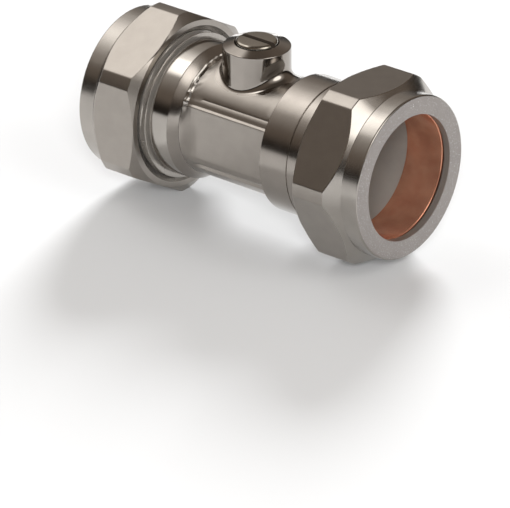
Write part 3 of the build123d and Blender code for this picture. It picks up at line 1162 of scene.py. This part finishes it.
# %% Give machined faces their own finish
def on_tower(x, y, z):
    """The tower down to its foot."""
    reach = max(math.hypot(x - ball_x, y), 0.01)
    return z > 8.5 and reach < tower_r + foot_size(((x - ball_x) / reach, y / reach)) * 0.97


def machined(x, y, z):
    """The bores, the ends and the shoulder at the left collar."""
    on_barrel = math.hypot(y, z) >= 9 and rim_end_x - 0.1 <= x <= barrel_end_x - 0.02
    return not on_tower(x, y, z) and not on_barrel


def on_rim(x, y, z):
    """The bead that the dies left round the left end, above the pads."""
    return rim_end_x - 0.1 <= x < rim_foot_x + 0.1 and z > 5.2


for finish, chosen in ((polished_plate, on_tower), (turned_plate, machined), (flash_plate, on_rim)):
    finish_where(stamped_body, finish, chosen)

# %% [markdown]
# ## The spindle
# The spindle is turned, with two grooves for its rubber rings, a flange that holds it in the body, a
# tang that fits the ball's slot and a screwdriver slot across its head. The slot lies along the pipe
# when the valve is open.

# %% Turn the spindle and cut its slot
def block(name, low, high):
    """Box between two corners in millimetres, used as a cutter."""
    points = list(itertools.product(*zip(low, high)))
    faces = [(0, 1, 3, 2), (4, 6, 7, 5), (0, 4, 5, 1), (2, 3, 7, 6), (0, 2, 6, 4), (1, 5, 7, 3)]
    return piece_from(name, np.array(points) * mm, faces, spindle_plate)


def in_slot(x, y, z):
    """Walls and floor of the screwdriver slot, which wear a darker finish as painted shade."""
    return head_top_z - 1.6 < z < head_top_z - 0.05 and abs(y) < slot_half + 0.01


head_r, shaft_r, groove_floor_r = 3.7, 3.85, 2.45
head_top_z, slot_half, slot_depth = 16.4, 0.52, 1.4
tang_half, tang_bottom_z, head_bottom_z = 1.1, 6.3, 14.56
flange_bottom_z, flange_top_z, flange_r = 8.7, 9.85, 4.75
groove_width, groove_starts = 1.6, (10.4, 12.8)
spindle_corners = [
    (tang_bottom_z, 0),
    (tang_bottom_z, shaft_r, 0.15),
    (flange_bottom_z, shaft_r),
    (flange_bottom_z, flange_r, 0.15),
    (flange_top_z, flange_r, 0.1),
    (flange_top_z, shaft_r),
]
for start in groove_starts:
    end = start + groove_width
    spindle_corners += [(start, shaft_r, 0.05), (start, groove_floor_r)]
    spindle_corners += [(end, groove_floor_r), (end, shaft_r, 0.05)]
spindle_corners += [(head_bottom_z, shaft_r), (head_bottom_z, head_r)]
spindle_corners += [(head_top_z, head_r, 0.6), (head_top_z, 0)]
spindle = upright(turned("slotted_spindle", rounded(spindle_corners), spindle_plate, 128))
reach, slot_floor_z = 6, head_top_z - slot_depth
left, right = ball_x - reach, ball_x + reach
cut(
    spindle,
    block("slot_tool", (left, -slot_half, slot_floor_z), (right, slot_half, 18)),
    block("tang_front_tool", (left, -reach, 5), (right, -tang_half, flange_bottom_z)),
    block("tang_back_tool", (left, tang_half, 5), (right, reach, flange_bottom_z)),
)
# The slot's walls and floor get the dark finish, painted shade for the recess.
finish_where(spindle, slot_shade_plate, in_slot)
bevel = spindle.modifiers.new("edges", "BEVEL")
bevel.width, bevel.segments, bevel.limit_method = 0.05 * mm, 2, "ANGLE"
bevel.angle_limit = math.radians(50)
tidied(baked(spindle))

# %% [markdown]
# ## The ball and its seats
# The ball is a polished sphere with a bore as wide as the waterway and a slot for the spindle's tang.
# Each seat is a plastic ring hollowed to the ball.

# %% Make the ball and seats
ball_r, ball_slot_half, ball_slot_depth = 7.9, 1.2, 1.7
port_x = math.sqrt(ball_r**2 - waterway_r**2)


def ball_outline():
    """Outline of the ball with its bore, from the bore's one edge over the sphere to the other."""
    swing = math.atan2(waterway_r + 0.12, port_x)
    angles = np.linspace(swing, math.pi - swing, 40)
    sphere = [(ball_x + ball_r * math.cos(a), ball_r * math.sin(a)) for a in angles]
    port_ends = (ball_x - port_x + 0.1, ball_x + port_x - 0.1)
    return np.array([*sphere, *((x, waterway_r) for x in port_ends), sphere[0]])


valve_ball = turned("valve_ball", ball_outline(), ball_plate, 160)
slot_corners = (
    (ball_x - 10, -ball_slot_half, ball_r - ball_slot_depth),
    (ball_x + 10, ball_slot_half, 9),
)
cut(valve_ball, block("ball_slot_tool", *slot_corners))
tidied(valve_ball)


def seat(name, sign):
    """Plastic ring on the right of the ball for sign 1, on the left for sign -1."""
    front, back, outer_r = 3.916, 7.016, 8.1
    gap_r = ball_r + 0.12
    angles = np.linspace(math.acos(front / gap_r), math.asin(waterway_r / gap_r), 12)
    hollow = [(gap_r * math.cos(a), gap_r * math.sin(a)) for a in angles]
    outline = [*hollow, (back, waterway_r), (back, outer_r), (front, outer_r), hollow[0]]
    return turned(name, np.array(outline) * (sign, 1) + (ball_x, 0), seat_plastic, 96)


right_seat = seat("right_seat_ring", 1)
left_seat = seat("left_seat_ring", -1)

# %% [markdown]
# ## The rubber rings
# Two rubber rings sit in the spindle's grooves and keep the water in.

# %% Make the rubber rings
ring_centre_r, ring_section_r = 3.175, 0.685


def rubber_ring(name, height):
    """Rubber ring round the spindle at a height."""
    angles = np.linspace(0, math.tau, 25)
    along, across = ring_section_r * np.cos(angles), ring_section_r * np.sin(angles)
    outline = np.column_stack((height + along, ring_centre_r + across))
    return upright(turned(name, outline, ring_rubber, 96))


lower_ring = rubber_ring("lower_rubber_ring", 11.2)
upper_ring = rubber_ring("upper_rubber_ring", 13.6)

# %% [markdown]
# ## The studio
# The valve stands on a white sheet. A metal part shows the room more than it shows itself, so the
# room is built: a round tent whose cloth glows in places and stays dark near the floor. The camera
# doesn't see the tent. Two soft lamps, one behind the valve and one at the camera, light the valve
# and the sheet and cast the shadows.

# %% Lay the sheet
floor_z = cad_box[0].z


def seen_by_mirrors(tree):
    """1 for rays that come from the camera, or that metal or glass passes on."""
    path = node(tree, "ShaderNodeLightPath").outputs
    seen = calc(tree, "ADD", path["Is Camera Ray"], path["Is Glossy Ray"])
    return calc(tree, "MINIMUM", calc(tree, "ADD", seen, path["Is Transmission Ray"]), 1.0)


def studio_finish(name):
    """Empty material without a shader, and its tree."""
    made, tree, shader = new_material(name)
    tree.nodes.remove(shader)
    return made, tree


def shine(tree, colour, strength):
    """Light that a surface gives off."""
    return node(tree, "ShaderNodeEmission", {"Color": (*colour, 1), "Strength": strength}).outputs[0]


def show_both(tree, first, second):
    """Makes the surface the sum of two shaders."""
    both = node(tree, "ShaderNodeAddShader", {0: first, 1: second}).outputs[0]
    tree.links.new(both, tree.nodes["Material Output"].inputs["Surface"])


def sheet_finish(colour, lift):
    """White paper that looks lit from all round, and still takes shadows."""
    made, tree = studio_finish("studio_sheet")
    paper = node(tree, "ShaderNodeBsdfDiffuse", {"Color": (*colour, 1)}).outputs["BSDF"]
    strength = calc(tree, "MULTIPLY", seen_by_mirrors(tree), lift)
    show_both(tree, paper, shine(tree, (1, 1, 1), strength))
    return made


def lay_sheet(size):
    """Round sheet under the valve."""
    turns = np.linspace(0, math.tau, 97)[:-1]
    rim = [(size * math.cos(a), size * math.sin(a), floor_z) for a in turns]
    paper = sheet_finish((0.63, 0.64, 0.65), 0.02)
    sheet = piece_from("studio_sheet", rim, [list(range(len(rim)))], paper)
    sheet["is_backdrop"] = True
    return sheet


lay_sheet(2.9)

# %% [markdown]
# ## What the metal mirrors
# The highlights in the photograph tell where the room was bright: a wide soft lamp over the left side,
# another high on the right, and cloth that gets a little lighter from the floor up and darker again
# overhead. A soft lamp is a patch of the dome with soft edges. Its place is told by the direction
# from the valve, so the dome can be of any size.

# %% Make the tent's glowing cloth
right_lamp = Vector((0.81, -0.03, 0.59)).normalized()
far_left = Vector((-0.57, 0.72, 0.39)).normalized()
softbox_slant, softbox_foot = 0.2, (0.35, 0.6)
softboxes = (
    ((-0.38, -0.47), (0.0, 0.5), 1.4),
    ((-0.34, -0.47), (0.3, 0.85), 0.5),
    ((-0.38, -0.44), (0.14, 0.28), 2.4, -0.12, (-0.56, -0.5)),
)
glows = ((right_lamp, 12, 21, 2.5), (right_lamp, 8, 40, 0.5), (far_left, 4, 26, 0.14))


def glow_towards(tree, way, direction, inner, outer, strength):
    """Glow of the tent's cloth round a direction: full inside one angle, none outside the other."""
    feeds = {0: way, 1: tuple(direction)}
    cosine = node(tree, "ShaderNodeVectorMath", feeds, operation="DOT_PRODUCT").outputs["Value"]
    edges = (math.cos(math.radians(angle)) for angle in (outer, inner))
    return ramp(tree, cosine, *edges, 0.0, strength)


def softbox(tree, parts, right, across, strength, middle=0.07, left=None):
    """Glow of a square lamp on the left. right, across and left are where its soft edges start and end."""
    slanted = calc(tree, "MULTIPLY_ADD", parts["Y"], softbox_slant, parts["X"])
    off_middle = calc(tree, "ABSOLUTE", calc(tree, "SUBTRACT", parts["Y"], middle))
    edges = [ramp(tree, off_middle, *across, 1.0, 0.0)]
    edges.append(ramp(tree, parts["Z"], *softbox_foot, 0.0, 1.0))
    if left:
        edges.append(ramp(tree, parts["X"], *left, 0.0, 1.0))
    glow = ramp(tree, slanted, *right, 0.0, strength)
    for edge_glow in edges:
        glow = calc(tree, "MULTIPLY", glow, edge_glow)
    return glow


def tent_finish():
    """Cloth that glows where lamps stand behind it and is a dim brown elsewhere."""
    made, tree = studio_finish("studio_tent")
    place = node(tree, "ShaderNodeTexCoord").outputs["Object"]
    way = node(tree, "ShaderNodeVectorMath", {0: place}, operation="NORMALIZE").outputs["Vector"]
    parts = node(tree, "ShaderNodeSeparateXYZ", {"Vector": way}).outputs
    lamps = 0.0
    for glow in (
        *(softbox(tree, parts, *settings) for settings in softboxes),
        *(glow_towards(tree, way, *settings) for settings in glows),
    ):
        lamps = calc(tree, "ADD", lamps, glow)
    walls = ramp(tree, parts["Z"], 0.12, 0.42, 0.03, 0.22)
    roof = ramp(tree, parts["Z"], 0.75, 0.95, 0.0, -0.1)
    cloth = shine(tree, (1, 0.82, 0.68), calc(tree, "ADD", walls, roof))
    show_both(tree, cloth, shine(tree, (1, 0.99, 0.97), lamps))
    return made


# %% [markdown]
# ## The tent and the lamps
# The dome gives the metal something to mirror. Two disc lamps add the light that casts the shadows.
# They are hidden from the metal, because each would show in it as a second bright spot. The world
# outside is white, and the camera sees it past the edge of the sheet.

# %% Put up the tent and the lamps
tent_radius = 3.0
back_lamp_way = Vector((-0.42, 0.80, 0.43)).normalized()


def put_up_tent():
    """Dome over the valve that mirrors see and the camera doesn't."""
    dome = bmesh.new()
    bmesh.ops.create_uvsphere(dome, u_segments=96, v_segments=48, radius=tent_radius)
    low = [v for v in dome.verts if v.co.z < floor_z]
    bmesh.ops.delete(dome, geom=low, context="VERTS")
    mesh = bpy.data.meshes.new("studio_tent")
    dome.to_mesh(mesh)
    dome.free()
    mesh.materials.append(tent_finish())
    tent = added("studio_tent", mesh)
    tent.visible_camera = False
    tent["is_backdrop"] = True
    return tent


def lamp(name, direction, distance, size, power):
    """Round soft lamp that lights but isn't mirrored: metal sees the glow of the tent instead."""
    light = bpy.data.lights.new(name, "AREA")
    light.shape, light.size, light.energy = "DISK", size, power
    made = added(name, light)
    turned_to_valve = direction.to_track_quat("Z", "Y").to_matrix().to_4x4()
    made.matrix_world = Matrix.Translation(direction * distance) @ turned_to_valve
    made.visible_glossy = False
    return made


put_up_tent()
lamp("back_lamp", back_lamp_way, 1.2, 0.42, 24.0)
lamp("camera_lamp", view_axes()[2], 1.0, 0.3, 8.5)


def whiten_world():
    """Soft white all round, full white where the camera and mirrors see it."""
    world = bpy.data.worlds.new("studio")
    world.use_nodes = True
    bpy.context.scene.world = world
    tree = world.node_tree
    strength = calc(tree, "MULTIPLY_ADD", seen_by_mirrors(tree), 0.7, 0.3)
    back = tree.nodes["Background"]
    back.inputs["Color"].default_value = (1, 1, 1, 1)
    tree.links.new(strength, back.inputs["Strength"])


whiten_world()
bpy.context.scene.view_settings.view_transform = "Standard"

# %% [markdown]
# ## What each piece stands for
# Every piece rides on a body of the CAD model, so it moves with the joints, and the CAD node that it
# stands for is hidden. Each row of the table also names a finish of the record, which nothing here reads.

# %% Hang the pieces on the bodies
dressing = (
    (stamped_body, "valve", "chrome", "body"),
    (left_end, "valve", "chrome", "body"),
    (connector, "valve", "chrome", "end_piece"),
    (right_seat, "valve", "ptfe", "right_seat"),
    (left_seat, "valve", "ptfe", "left_seat"),
    (spindle, "spindle", "spindle_brass", "spindle"),
    (lower_ring, "spindle", "rubber", "lower_o_ring"),
    (upper_ring, "spindle", "rubber", "upper_o_ring"),
    (valve_ball, "ball", "ball_plating", "ball"),
    (right_nut, "right_nut", "chrome", "right_nut"),
    (left_nut, "left_nut", "chrome", "left_nut"),
    (right_ring, "right_olive", "copper", "right_olive"),
    (left_ring, "left_olive", "copper", "left_olive"),
)
for piece, body, finish, stands_for in dressing:
    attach(piece, body)
    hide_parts(stands_for)

# %% [markdown]
# ## The two boxes
# The dressed valve has to be as long, wide and high as the CAD model. Both boxes are written down side
# by side, so that they can be compared.

# %% Keep the sizes and finish
boxes = {"cad": cad_box, "visual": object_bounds()}
for name, (low, high) in boxes.items():
    print(name, "box", [round(v / mm, 2) for v in (*low, *high)], "mm")
